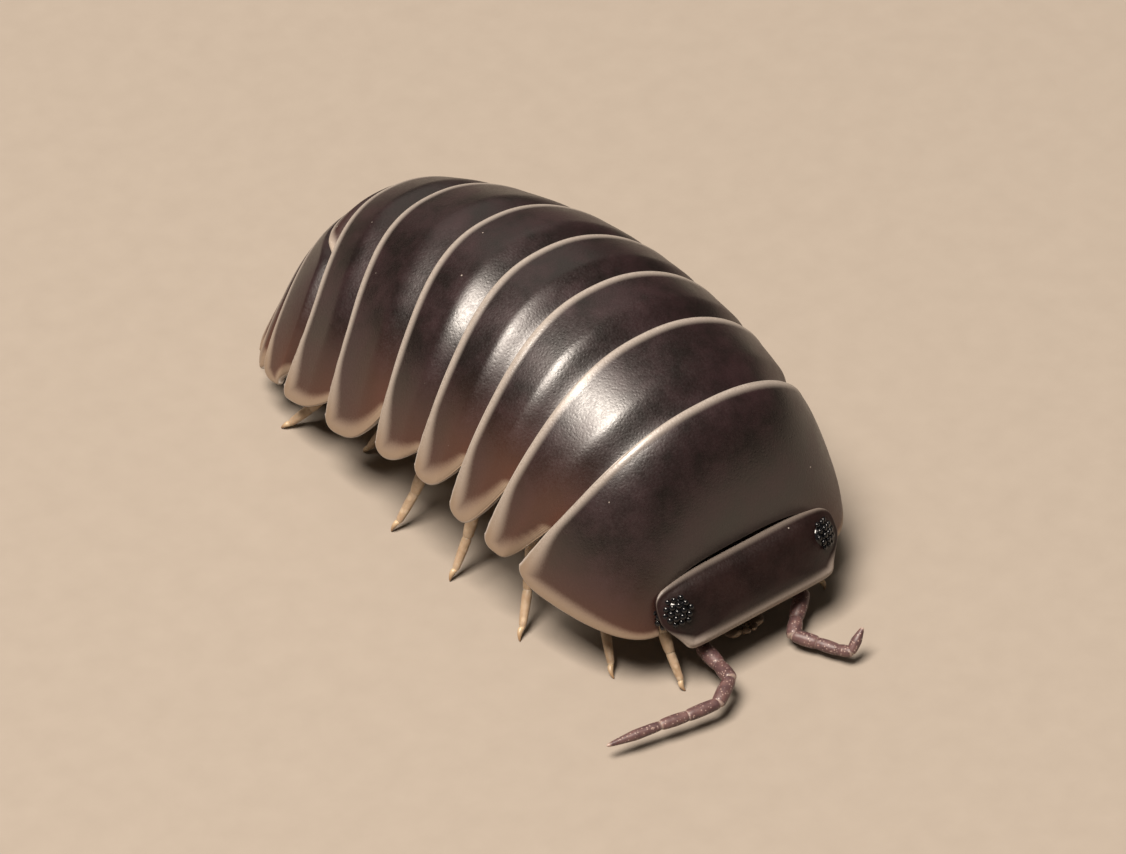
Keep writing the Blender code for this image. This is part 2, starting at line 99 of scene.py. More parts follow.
# Shell thickness, the rounding of its edge and the step from one plate down to the next: how far a
# front runs under, its depth there, its slope, and the span of the shoulder. The margin's swelling
# dies away between the two shares of its width.
SHELL = 0.17
EDGE_ROUND = 0.075
FRONT_REACH, FRONT_DEPTH, FRONT_SLOPE = 0.30, 0.27, 0.5
SHOULDER = (-0.05, 0.42)
MARGIN_SWELL, SWELL_SPAN = 0.016, (0.6, 1.35)
# The pale margin is MARGIN_TOP wide over the crest and MARGIN_LOBE on a lobe. It widens between
# these shares of the way down and along the plate.
MARGIN_TOP, MARGIN_LOBE = 0.19, 0.48
WIDER_DOWN, WIDER_ALONG = (0.70, 0.97), (0.1, 0.8)
LOBE_FADE = 0.85
# Points of a plate's grid, and how far they crowd towards its edges.
PLATE_ACROSS, PLATE_ALONG = (220, 0.75), (64, 0.85)

# The belly's height above the margins' tips, its half-width as a share of the back's, its sag, the
# bow of a plate's ends, the cross ridge's height and width, and half its thickness. Then a plate's
# start and run, those of the first, and about its half-width and length.
BELLY_RISE, NECK_RISE = 1.15, 0.40
BELLY_SHARE, BELLY_SAG, BELLY_BOW = 0.76, 0.22, 0.35
BELLY_RIDGE, BELLY_RIDGE_WIDTH, BELLY_THICK = 0.06, 0.16, 0.08
BELLY_SPAN, BELLY_FIRST_SPAN, BELLY_SIZE = (0.08, 0.84), (0.55, 0.37), (3.5, 2.0)

HEAD_MIDDLE = (-9.06, 2.05)
HEAD_LEAN = math.radians(58.5)
HEAD_HALF = 2.82
HEAD_NECK_HALF = 1.90
HEAD_FACE = 0.94
HEAD_CROWN = 0.34
HEAD_DEEP = 1.25
HEAD_BACK = (0.98, -0.20)
HEAD_REAR_POWER, HEAD_FRONT_POWER = 4.6, 13.0
HEAD_DRAW, HEAD_DIP = 0.165, 0.03
# The head's rims: width, height of the ridge and how far the colour is faded, in rim widths. The front and
# side rims are pale cuticle; the soft pale band on the rear rim is a painted sheen along its ridge.
HEAD_RIM_REAR, HEAD_RIM_SIDE, HEAD_RIM_FRONT = 0.17, 0.07, 0.25
HEAD_RIDGE_REAR, HEAD_RIDGE_FRONT = 0.022, 0.07
HEAD_REAR_SHEEN_FADE, HEAD_FAINT_SIDE = 0.60, 0.85
# An eye: its place sideways, up the face and out of it, the ellipsoid and its lean to the side, the
# domes' spacing and size, the share of the ellipse's area that they cover, the share of the
# ellipsoid that the body fills and the share of its height at which the domes sit.
EYE_PLACE = (2.36, 0.16, -0.09)
EYE_RADII = (0.54, 0.44, 0.33)
EYE_TURN = math.radians(42)
EYE_ROWS, EYE_COLUMNS = 0.148, 0.165
EYE_DOME = (0.082, 0.082, 0.058)
EYE_REACH, EYE_BODY, EYE_SEAT = 0.88, 0.90, 0.95

# A jaw-foot and a jaw: start and end from the mouth's middle, half-widths and half-heights.
MOUTH_MIDDLE = (-8.75, 0.36)
JAW_FOOT = ((0.36, 0.42, 0.02), (0.30, -0.30, -0.03), (0.30, 0.34, 0.22), (0.12, 0.13, 0.10))
JAW = ((0.16, -0.28, 0.04), (0.05, -0.44, 0.05), (0.12, 0.10, 0.05), (0.10, 0.08, 0.04))

# Legs: the root's place, the way from root to foot, the joints as shares of the leg's length, each
# segment's radii, how much deeper than wide it is and how far it runs past its two joints.
LEG_ROOT_X, LEG_ROOT_DROP = 1.75, 0.20
LEG_ROOT_SPAN = (0.3, 0.6)
HIP_SHIFT = (0.28, 0.0, -0.42)
KNEE_SHARE, KNEE_DROP = (0.50, 0.42, 0.0), -0.75
FRONT_KNEE_SHIFT = (0.27, 0.25, 0.0)
SHIN_SHARE = (0.58, 0.58, 0.68)
LEG_JOINTS = (0.0, 0.30, 0.44, 0.57, 0.72, 0.92, 1.0)
LEG_RADII = ((0.22, 0.23, 0.19), (0.19, 0.18, 0.16), (0.155, 0.165, 0.14), (0.14, 0.145, 0.12),
             (0.12, 0.11, 0.085))
LEG_DEPTH, LEG_LAP = 1.15, (0.05, 0.05)
CLAW_WIDTHS, CLAW_HEIGHTS = (0.085, 0.06, 0.02), (0.09, 0.065, 0.02)
CLAW_LIFT, CLAW_BEND = (0, 0, 0.01), 0.05
FEET_RIGHT = ((2.45, -9.55), (3.55, -8.10), (4.50, -5.55), (4.45, -2.65), (4.42, -0.20), (3.05, 2.75),
              (4.12, 4.85))
FEET_LEFT = ((2.70, -8.80), (3.70, -6.90), (4.55, -4.60), (4.50, -2.00), (4.45, -0.60), (4.40, 2.90),
             (4.10, 5.40))

ANTENNA_RIGHT = ((-1.66, -9.20, 0.80), (-1.72, -9.95, 0.74), (-1.86, -10.55, 0.78), (-2.55, -10.92, 0.62),
                 (-3.40, -10.78, 0.58), (-4.10, -10.62, 0.56), (-5.50, -10.30, 0.46))
ANTENNA_LEFT = ((1.62, -9.20, 0.80), (1.05, -9.62, 0.52), (0.68, -9.98, 0.40), (0.98, -10.50, 0.36),
                (1.22, -11.00, 0.34), (1.38, -11.35, 0.42), (1.80, -11.25, 0.85))
ANTENNA_WIDTHS = ((0.20, 0.22, 0.19), (0.17, 0.20, 0.19), (0.16, 0.19, 0.18), (0.15, 0.17, 0.16),
                  (0.14, 0.16, 0.14), (0.13, 0.14, 0.05))
ANTENNA_DEPTH, ANTENNA_LAP = 0.95, (0.05, 0.06)

# The tail's end, from under the last tail plate to a low arch at the tip, and how far round it each
# leaf reaches, from front to rear, as a share of the flank's angle.
SHIELD_START, SHIELD_DEPTH, SHIELD_RUN = 10.8, 0.25, 5.0
SHIELD_TIP, SHIELD_SIDE = (8.05, 1.05), (2.0, 7.70, 0.80)
TELSON_SHARES = (0.30, 0.27, 0.23, 0.205, 0.20)
UROPOD_SHARES = (0.80, 0.80, 0.78, 0.73, 0.66)
LEAF_GAP, LEAF_MARGIN, LEAF_CORNER = 0.015, 0.17, 0.12

# Gill plates: y and z from the first pair towards the last and the drop below that line, the first
# pair's half-width and what each pair loses, a plate's length, its rise in front, its drop behind
# and its rear's place sideways as a share of its front's, its half-widths as shares, its arch and
# its thickness.
GILL_PAIRS = 5
GILL_START, GILL_END, GILL_DROP = (5.2, 1.65), (7.0, 1.25), 0.05
GILL_WIDEST, GILL_STEP = 0.95, 0.09
GILL_LENGTH, GILL_FRONT_LIFT, GILL_REAR_DROP, GILL_TURN_IN = 0.62, 0.1, 0.12, 0.9
GILL_SHARES, GILL_CROWN, GILL_THICK = (0.7, 0.9, 0.6), 0.12, 0.1

# The floor, the soft light from all round and two lights: name, azimuth and elevation in degrees,
# distance, size and power in watts.
FLOOR_HALF = 600
WORLD_COLOUR, WORLD_STRENGTH = "#EADBC8", 0.10
LIGHT_COLOUR, LIGHT_AIM = "#FFF3E6", (0, 0, 3)
LIGHTS = (("key", -80, 70, 440, 200, 4.1), ("fill", 150, 40, 440, 280, 0.12))


# Small helpers for arrays and meshes.

def smooth(low, high, value):
    """0 below low, 1 above high, and the cubic 3t^2 - 2t^3 between them."""
    t = np.clip((value - low) / (high - low), 0.0, 1.0)
    return t * t * (3 - 2 * t)


def unit(vectors):
    """Vectors scaled to length 1 along the last axis."""
    return vectors / np.maximum(np.linalg.norm(vectors, axis=-1, keepdims=True), 1e-9)


def clustered(count, pull):
    """Places from -1 to 1, closer together near both ends: a mix of even steps and a sine."""
    even = np.linspace(-1, 1, count)
    return (1 - pull) * even + pull * np.sin(even * math.pi / 2)


def on_curve(corners, place):
    """Catmull-Rom curve at places counted in corners: four corners blended by cubic weights of t."""
    ends = np.vstack([2 * corners[0] - corners[1], corners, 2 * corners[-1] - corners[-2]])
    i = np.minimum(place.astype(int), len(corners) - 2)
    t = (place - i)[..., None]
    a, b, c, d = ends[i], ends[i + 1], ends[i + 2], ends[i + 3]
    square, cube = 2 * a - 5 * b + 4 * c - d, 3 * b - a - 3 * c + d
    return 0.5 * (2 * b + (c - a) * t + square * t ** 2 + cube * t ** 3)


def curve_through(corners, steps):
    """Points of a Catmull-Rom curve through the corners, steps of them to a span."""
    corners = np.asarray(corners, float)
    return on_curve(corners, np.linspace(0, len(corners) - 1, (len(corners) - 1) * steps + 1))


def grid_quads(rows, columns):
    """Corner numbers of the quads of a rows x columns grid of points."""
    i, j = np.meshgrid(np.arange(rows - 1), np.arange(columns - 1), indexing="ij")
    corner = i * columns + j
    return np.stack([corner, corner + 1, corner + columns + 1, corner + columns], axis=-1).reshape(-1, 4)


def joined(shapes):
    """Several shapes (points, quads, triangles, attributes) as one."""
    counts = np.cumsum([0] + [len(shape[0]) for shape in shapes])
    points = np.concatenate([shape[0] for shape in shapes])
    quads = np.concatenate([shape[1] + at for shape, at in zip(shapes, counts)])
    triangles = np.concatenate([shape[2] + at for shape, at in zip(shapes, counts)])
    values = {key: np.concatenate([shape[3][key] for shape in shapes]) for key in shapes[0][3]}
    return points, quads, triangles, values


def put_piece(name, shape, finish, slot, *nodes):
    """One smooth mesh object from a shape in mm. Its faces are turned to point out of the closed surface."""
    points, quads, triangles, values = shape
    placed = (points - np.array(CENTRE)) * MM
    corners = np.concatenate([quads.ravel(), triangles.ravel()]).astype(np.int32)
    starts = np.concatenate([np.arange(len(quads)) * 4, len(quads) * 4 + np.arange(len(triangles)) * 3])
    mesh = bpy.data.meshes.new(name)
    mesh.vertices.add(len(placed))
    mesh.vertices.foreach_set("co", placed.astype(np.float32).ravel())
    mesh.loops.add(len(corners))
    mesh.loops.foreach_set("vertex_index", corners)
    mesh.polygons.add(len(starts))
    mesh.polygons.foreach_set("loop_start", starts.astype(np.int32))
    mesh.update(calc_edges=True)
    mesh.validate()
    for key, value in values.items():
        layer = mesh.attributes.new(key, "FLOAT", "POINT")
        layer.data.foreach_set("value", value.astype(np.float32))
    if signed_volume(placed, quads, triangles) < 0:
        mesh.flip_normals()
    mesh.shade_smooth()
    mesh.materials.append(finish)
    item = bpy.data.objects.new(name, mesh)
    bpy.context.scene.collection.objects.link(item)
    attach(item, "root")
    if nodes:
        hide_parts(*nodes)


def signed_volume(points, quads, triangles):
    """Six times the volume inside: the sum of the corners' triple products over all triangles."""
    faces = np.concatenate([quads[:, [0, 1, 2]], quads[:, [0, 2, 3]], triangles])
    a, b, c = points[faces[:, 0]], points[faces[:, 1]], points[faces[:, 2]]
    return float(np.sum(a * np.cross(b, c)))


def two_sheets(outer, inner, values):
    """A closed shell of two grids that share their border points."""
    rows, columns = outer.shape[:2]
    number = np.arange(rows * columns).reshape(rows, columns)
    inside = number + rows * columns
    border = np.ones((rows, columns), bool)
    border[1:-1, 1:-1] = False
    inside[border] = number[border]
    used = np.full(2 * rows * columns, -1)
    kept = np.unique(np.concatenate([number.ravel(), inside.ravel()]))
    used[kept] = np.arange(len(kept))
    points = np.concatenate([outer.reshape(-1, 3), inner.reshape(-1, 3)])[kept]
    lower = inside[:-1, :-1], inside[1:, :-1], inside[1:, 1:], inside[:-1, 1:]
    quads = np.concatenate([grid_quads(rows, columns), np.stack(lower, axis=-1).reshape(-1, 4)])
    doubled = {key: np.tile(value.ravel(), 2)[kept] for key, value in values.items()}
    return points, used[quads], np.zeros((0, 3), int), doubled


def barrel(start, end, widths, heights, reference=(0.0, 0.0, 1.0), around=24, along=20, bend=0.0):
    """A closed limb segment: ellipses carried from start to end.

    The radius follows the widths and heights given along it, times (1 - |2v - 1|^8)^(1/3) for its
    rounded ends. bend moves the middle along the reference direction by a parabola.
    """
    start, end = np.asarray(start, float), np.asarray(end, float)
    forward = unit(end - start)
    across = unit(np.cross(forward, reference))
    up = np.cross(across, forward)
    v = (1 + clustered(along, 0.9)) / 2
    inside = v[1:-1]
    ends = (1 - np.abs(2 * inside - 1) ** 8) ** (1 / 3)
    wide = np.interp(inside, np.linspace(0, 1, len(widths)), widths) * ends
    high = np.interp(inside, np.linspace(0, 1, len(heights)), heights) * ends
    turn = np.arange(around) * math.tau / around
    spine = start + (end - start) * v[:, None] + up * bend * (4 * v * (1 - v))[:, None]
    rings = (spine[1:-1, None] + across * (wide[:, None] * np.cos(turn))[..., None]
             + up * (high[:, None] * np.sin(turn))[..., None])
    points = np.concatenate([rings.reshape(-1, 3), spine[:1], spine[-1:]])
    marks = {"along": np.concatenate([np.repeat(inside, around), [0.0, 1.0]])}
    return closed_rings(points, len(inside), around, marks)


def closed_rings(points, rings, around, marks):
    """A closed shape from rings of points whose last two points are the poles at either end."""
    i, j = np.meshgrid(np.arange(rings - 1), np.arange(around), indexing="ij")
    k = (j + 1) % around
    quads = np.stack([i * around + j, i * around + k, (i + 1) * around + k, (i + 1) * around + j], axis=-1)
    j = np.arange(around)
    k = (j + 1) % around
    last = (rings - 1) * around
    low = np.stack([np.full(around, rings * around), k, j], axis=-1)
    top = np.stack([np.full(around, rings * around + 1), last + j, last + k], axis=-1)
    return points, quads.reshape(-1, 4), np.concatenate([low, top]), marks


# Materials.

AMBER, SPECK_COLOUR = "#93795F", "#B9AEA6"


def linear(hex_colour):
    """An sRGB hex colour as linear red, green, blue and alpha."""
    channels = [int(hex_colour[i:i + 2], 16) / 255 for i in (1, 3, 5)]
    return (*[c / 12.92 if c <= 0.04045 else ((c + 0.055) / 1.055) ** 2.4 for c in channels], 1.0)


def add_node(tree, kind, inputs=(), **settings):
    """A node with its settings. inputs pairs a socket with a value or with the socket that feeds it.

    A Mix node takes its share at socket 0 and its two colours at 6 and 7, and gives output 2.
    """
    node = tree.nodes.new(kind)
    for key, value in settings.items():
        setattr(node, key, value)
    for socket, value in inputs:
        if isinstance(value, bpy.types.NodeSocket):
            tree.links.new(value, node.inputs[socket])
        else:
            node.inputs[socket].default_value = value
    return node


def new_finish(name):
    """A material with its tree, its shader and a position in metres to hang patterns on."""
    finish = bpy.data.materials.new(name)
    finish.use_nodes = True
    tree = finish.node_tree
    place = add_node(tree, "ShaderNodeTexCoord").outputs["Object"]
    return finish, tree, tree.nodes["Principled BSDF"], place


def cuticle(name, dark, plum, warm, pale, edge, gloss, fade, shine):
    """Woodlouse cuticle: chitin stiffened with chalk, dark pigment below a clear smooth skin.

    The dark field is near black with a plum cast in clouds of 1.1 mm, and has pale specks 0.9 mm
    apart. It thins to see-through brown at the lobes and ends in an unpigmented margin, pale, with
    grains of 0.06 mm and a bright outer line, amber where the lobe is thinnest. fade gives the two
    places, in margin widths, between which the margin dies away, gloss the least roughness and
    shine the strength of the reflection. Pits 0.085 mm apart break the gloss.
    """
    finish, tree, shader, place = new_finish(name)
    rim = add_node(tree, "ShaderNodeAttribute", attribute_name="rim").outputs["Fac"]
    lobe = add_node(tree, "ShaderNodeAttribute", attribute_name="lobe").outputs["Fac"]
    clouds = add_node(tree, "ShaderNodeTexNoise", [("Vector", place), ("Scale", 1 / (1.1 * MM)),
                                                   ("Detail", 3.0), ("Roughness", 0.6)])
    grains = add_node(tree, "ShaderNodeTexNoise", [("Vector", place), ("Scale", 1 / (0.06 * MM)),
                                                   ("Detail", 2.0), ("Roughness", 0.7)])
    pits = add_node(tree, "ShaderNodeTexVoronoi", [("Vector", place), ("Scale", 1 / (0.085 * MM))])
    specks = add_node(tree, "ShaderNodeTexVoronoi", [("Vector", place), ("Scale", 1 / (0.9 * MM))])
    cloudy = add_node(tree, "ShaderNodeMapRange", [("Value", clouds.outputs["Fac"]), ("From Min", 0.38),
                                                   ("From Max", 0.68)])
    field = add_node(tree, "ShaderNodeMix", [(0, cloudy.outputs[0]), (6, linear(dark)), (7, linear(plum))],
                     data_type="RGBA")
    loose = add_node(tree, "ShaderNodeMath", [(0, grains.outputs["Fac"]), (1, 0.35)], operation="MULTIPLY")
    ragged = add_node(tree, "ShaderNodeMath", [(0, rim), (1, loose.outputs[0])], operation="ADD")
    thinning = add_node(tree, "ShaderNodeMapRange", [("Value", lobe), ("From Min", 0.06), ("From Max", 0.80)])
    band = add_node(tree, "ShaderNodeMapRange", [("Value", ragged.outputs[0]), ("From Min", fade[0]),
                                                 ("From Max", fade[1]), ("To Min", 1.0), ("To Max", 0.0)],
                    interpolation_type="SMOOTHSTEP")
    grainy = add_node(tree, "ShaderNodeMapRange", [("Value", grains.outputs["Fac"]), ("From Min", 0.1),
                                                   ("From Max", 0.95)])
    chalk = add_node(tree, "ShaderNodeMix", [(0, grainy.outputs[0]), (6, linear(pale)), (7, linear(edge))],
                     data_type="RGBA")
    glow = add_node(tree, "ShaderNodeMath", [(0, thinning.outputs[0]), (1, 0.75)], operation="MULTIPLY")
    amber = add_node(tree, "ShaderNodeMix", [(0, glow.outputs[0]), (6, chalk.outputs[2]),
                                             (7, linear(AMBER))], data_type="RGBA")
    line = add_node(tree, "ShaderNodeMapRange", [("Value", rim), ("From Min", 0.06), ("From Max", 0.22),
                                                 ("To Min", 1.0), ("To Max", 0.0)],
                    interpolation_type="SMOOTHSTEP")
    dots = add_node(tree, "ShaderNodeMapRange", [("Value", specks.outputs["Distance"]), ("From Min", 0.018),
                                                 ("From Max", 0.032), ("To Min", 0.7), ("To Max", 0.0)])
    # Each layer lies over the one before: brown, margin, bright line and specks.
    colour = field.outputs[2]
    for share, layer in ((thinning, linear(warm)), (band, amber.outputs[2]), (line, linear(edge)),
                         (dots, linear(SPECK_COLOUR))):
        over = add_node(tree, "ShaderNodeMix", [(0, share.outputs[0]), (6, colour), (7, layer)],
                        data_type="RGBA")
        colour = over.outputs[2]
    tree.links.new(colour, shader.inputs["Base Color"])
    rough = add_node(tree, "ShaderNodeMapRange", [("Value", grains.outputs["Fac"]), ("From Min", 0.25),
                                                  ("From Max", 0.75), ("To Min", gloss),
                                                  ("To Max", gloss + 0.14)])
    # The plum clouds are a little duller, and the thin lobes more so.
    for share, amount in ((cloudy, 0.10), (thinning, 0.25)):
        duller = add_node(tree, "ShaderNodeMath", [(0, share.outputs[0]), (1, amount)], operation="MULTIPLY")
        rough = add_node(tree, "ShaderNodeMath", [(0, rough.outputs[0]), (1, duller.outputs[0])],
                         operation="ADD")
    tree.links.new(rough.outputs[0], shader.inputs["Roughness"])
    dimples = add_node(tree, "ShaderNodeMapRange", [("Value", pits.outputs["Distance"]), ("From Min", 0.1),
                                                    ("From Max", 0.5)])
    pitted = add_node(tree, "ShaderNodeBump", [("Height", dimples.outputs[0]), ("Strength", 0.25),
                                               ("Distance", 0.006 * MM)])
    grained = add_node(tree, "ShaderNodeBump", [("Height", grains.outputs["Fac"]), ("Strength", 0.35),
                                                ("Distance", 0.008 * MM), ("Normal", pitted.outputs[0])])
    tree.links.new(grained.outputs[0], shader.inputs["Normal"])
    shader.inputs["IOR"].default_value = 1.56
    shader.inputs["Specular IOR Level"].default_value = shine
    return finish


def eye_lens():
    """Cornea of the simple eyes: clear, hard and wet-looking over black pigment."""
    finish, tree, shader, place = new_finish("black_cornea")
    clouds = add_node(tree, "ShaderNodeTexNoise", [("Vector", place), ("Scale", 1 / (0.12 * MM)),
                                                   ("Detail", 2.0)])
    tint = add_node(tree, "ShaderNodeMix", [(0, clouds.outputs["Fac"]), (6, linear("#050506")),
                                            (7, linear("#15161A"))], data_type="RGBA")
    tree.links.new(tint.outputs[2], shader.inputs["Base Color"])
    shader.inputs["Roughness"].default_value = 0.08
    shader.inputs["IOR"].default_value = 1.5
    return finish


def thin_skin(name, base, deep, joint, roughness, speck_size):
    """Thin cuticle of the limbs: little pigment, so it looks waxy, with paler joints and pale dots."""
    finish, tree, shader, place = new_finish(name)
    along = add_node(tree, "ShaderNodeAttribute", attribute_name="along").outputs["Fac"]
    clouds = add_node(tree, "ShaderNodeTexNoise", [("Vector", place), ("Scale", 1 / (0.28 * MM)),
                                                   ("Detail", 3.0), ("Roughness", 0.65)])
    dots = add_node(tree, "ShaderNodeTexVoronoi", [("Vector", place), ("Scale", 1 / (speck_size * MM))])
    cloudy = add_node(tree, "ShaderNodeMapRange", [("Value", clouds.outputs["Fac"]), ("From Min", 0.35),
                                                   ("From Max", 0.65)])
    mottled = add_node(tree, "ShaderNodeMix", [(0, cloudy.outputs[0]), (6, linear(base)), (7, linear(deep))],
                       data_type="RGBA")
    from_middle = add_node(tree, "ShaderNodeMath", [(0, along), (1, 0.5)], operation="SUBTRACT")
    reach = add_node(tree, "ShaderNodeMath", [(0, from_middle.outputs[0])], operation="ABSOLUTE")
    ends = add_node(tree, "ShaderNodeMapRange", [("Value", reach.outputs[0]), ("From Min", 0.40),
                                                 ("From Max", 0.48)], interpolation_type="SMOOTHSTEP")
    jointed = add_node(tree, "ShaderNodeMix", [(0, ends.outputs[0]), (6, mottled.outputs[2]),
                                               (7, linear(joint))], data_type="RGBA")
    spots = add_node(tree, "ShaderNodeMapRange", [("Value", dots.outputs["Distance"]), ("From Min", 0.16),
                                                  ("From Max", 0.30), ("To Min", 0.8), ("To Max", 0.0)])
    spotted = add_node(tree, "ShaderNodeMix", [(0, spots.outputs[0]), (6, jointed.outputs[2]),
                                               (7, linear(joint))], data_type="RGBA")
    tree.links.new(spotted.outputs[2], shader.inputs["Base Color"])
    bump = add_node(tree, "ShaderNodeBump", [("Height", clouds.outputs["Fac"]), ("Strength", 0.4),
                                             ("Distance", 0.02 * MM)])
    tree.links.new(bump.outputs[0], shader.inputs["Normal"])
    shader.inputs["Roughness"].default_value = roughness
    shader.inputs["IOR"].default_value = 1.5
    shader.inputs["Subsurface Weight"].default_value = 0.25
    shader.inputs["Subsurface Radius"].default_value = (1.0, 0.6, 0.4)
    shader.inputs["Subsurface Scale"].default_value = 0.15 * MM
    return finish


def claw_horn():
    """Claw chitin: hard, brown and glossy, darker towards the point."""
    finish, tree, shader, place = new_finish("brown_claw")
    along = add_node(tree, "ShaderNodeAttribute", attribute_name="along").outputs["Fac"]
    tint = add_node(tree, "ShaderNodeMix", [(0, along), (6, linear("#C4AE8E")), (7, linear("#86664A"))],
                    data_type="RGBA")
    grain = add_node(tree, "ShaderNodeTexNoise", [("Vector", place), ("Scale", 1 / (0.05 * MM))])
    bump = add_node(tree, "ShaderNodeBump", [("Height", grain.outputs["Fac"]), ("Strength", 0.3),
                                             ("Distance", 0.004 * MM)])
    tree.links.new(tint.outputs[2], shader.inputs["Base Color"])
    tree.links.new(bump.outputs[0], shader.inputs["Normal"])
    shader.inputs["Roughness"].default_value = 0.3
    return finish


def floor_paper():
    """Matt card under a studio light: pale, with a faint tooth."""
    finish, tree, shader, place = new_finish("pale_card")
    tooth = add_node(tree, "ShaderNodeTexNoise", [("Vector", place), ("Scale", 1 / (0.8 * MM)),
                                                  ("Detail", 4.0)])
    tint = add_node(tree, "ShaderNodeMix", [(0, tooth.outputs["Fac"]), (6, linear("#958B80")),
                                            (7, linear("#9D9388"))], data_type="RGBA")
    tree.links.new(tint.outputs[2], shader.inputs["Base Color"])
    shader.inputs["Roughness"].default_value = 0.85
    return finish


# The back.

def margin_rows():
    """Crest y and z, tip y and z, half-width and bow of each rear margin, 1 to 11."""
    crest_y = CREST_START + np.concatenate([[0.0], np.cumsum(BODY_PLATE_LENGTHS)])
    crest_z = CREST_TOP[1] - CREST_FALL * (crest_y - CREST_TOP[0]) ** 2
    tip_y = TIP_START + np.concatenate([[0.0], np.cumsum(TIP_STEPS)])
    tip_z = TIP_TOP[1] - TIP_FALL * (tip_y - TIP_TOP[0]) ** 2 - np.array(LOBE_DROPS)
    bow = np.linspace(BOW_FIRST, BOW_LAST, BODY_PLATES)
    body = np.stack([crest_y, crest_z, tip_y, tip_z, np.array(HALF_WIDTHS), bow], axis=1)
    tail = np.column_stack([np.array(TAIL_CREST), np.array(TAIL_TIPS), TAIL_HALF_WIDTHS, TAIL_BOWS])
    return np.vstack([body, tail])


ROWS = margin_rows()


def rows_at(s):
    """The margins' sizes at any s of 1 or more: a Catmull-Rom curve through the rows."""
    return on_curve(ROWS, np.clip(s - 1.0, 0.0, len(ROWS) - 1.0))


def margin_points(rows, phi):
    """A superellipse arch: x = W sin^(2/n), height share cos^(2/n), bowed forward between crest and tip."""
    side, top = np.abs(np.sin(phi)), np.abs(np.cos(phi))
    up = top ** (2 / ARCH_POWER)
    x = -np.sign(phi) * rows[..., 4] * side ** (2 / ARCH_POWER)
    bow = BOW_SHARE * rows[..., 5] * np.abs(np.sin(2 * phi)) * side
    y = rows[..., 0] * up + rows[..., 2] * (1 - up) - bow
    return np.stack([x, y, rows[..., 1] * up + rows[..., 3] * (1 - up)], axis=-1)


def collar_points(phi):
    """The first plate's front margin: a squarer arch over the back of the head."""
    side, top = np.abs(np.sin(phi)), np.abs(np.cos(phi))
    up = top ** (2 / COLLAR_POWER)
    x = COLLAR_CORNER[0] * side ** (2 / COLLAR_POWER) - COLLAR_TUCK * side ** COLLAR_CORNERING
    y = COLLAR_TOP[0] * up + COLLAR_CORNER[1] * (1 - up)
    z = COLLAR_TOP[1] * up + COLLAR_CORNER[2] * (1 - up)
    return np.stack([-np.sign(phi) * x, y, z], axis=-1)


def first_plate_points(s, phi):
    """A cubic Bezier curve from the first rear margin (s = 1) forward to the collar (s = 0)."""
    start, end = margin_points(np.broadcast_to(ROWS[0], (*phi.shape, 6)), phi), collar_points(phi)
    side, top = np.abs(np.sin(phi)), np.abs(np.cos(phi))
    pull_top, pull_side, pull_end = COLLAR_PULL
    zero = np.zeros_like(phi)
    forward = np.stack([zero, zero - 1.0, COLLAR_SLOPES[0] * top], axis=-1)
    outward = np.stack([-np.sign(phi) * side ** COLLAR_CORNERING, COLLAR_SLOPES[1] * top, top], axis=-1)
    near = start + forward * (pull_top * top + pull_side * side ** 3 * (1 - top))[..., None]
    far = end + outward * pull_end
    t = (1.0 - s)[..., None]
    return start * (1 - t) ** 3 + 3 * near * t * (1 - t) ** 2 + 3 * far * t ** 2 * (1 - t) + end * t ** 3


def back_surface(s, phi):
    """The back at s and phi: the first plate's curves below s = 1 and the arches above."""
    s, phi = np.broadcast_arrays(np.asarray(s, float), np.asarray(phi, float))
    arches = margin_points(rows_at(s), phi)
    return np.where((s < 1)[..., None], first_plate_points(np.minimum(s, 1.0), phi), arches)


def back_normal(s, phi):
    """Outward unit normals from central differences, with phi held to 86 degrees."""
    limit, step = math.radians(86), 0.02
    held, safe = np.clip(phi, -limit, limit), np.maximum(s, 0.03)
    along = back_surface(safe + step, held) - back_surface(safe - step, held)
    around = back_surface(s, held + step) - back_surface(s, held - step)
    normal = unit(np.cross(around, along))
    outward = back_surface(s, phi) - (0, 0, 2.0)
    outward[..., 1] = np.minimum(outward[..., 1] - CREST_START, 0.0)
    return normal * np.where(np.sum(normal * outward, axis=-1) < 0, -1.0, 1.0)[..., None]


def lower_limit(u, first, lobe, length, half_height):
    """The phi where a plate ends below: a lobe with a quarter circle behind, rising to the notch before it.

    The height falls from the notch, at u = first, as rise (1 - (u - first)/w)^power. w reaches to
    the lobe's lowest place, where the quarter circle starts. A power of 0 keeps the whole edge at
    the notch's height.
    """
    rise, power, lift, radius = lobe
    share = radius / length
    front = np.clip(1.0 - (u - first) / (1.0 - first - share), 0.0, 1.0)
    corner = np.clip((u - 1.0 + share) / share, 0.0, 1.0)
    above = lift + rise * front ** power + radius * (1 - np.sqrt(1 - corner ** 2))
    above = above - np.minimum(u - first, 0.0) * FRONT_FALL
    return np.arccos(np.minimum(0.98, above / half_height) ** (ARCH_POWER / 2))


def rounding(distance, radius):
    """Quarter-circle profile: 0 at the edge, 1 at radius and beyond."""
    return np.sqrt(1 - (1 - np.clip(distance / radius, 0.0, 1.0)) ** 2)


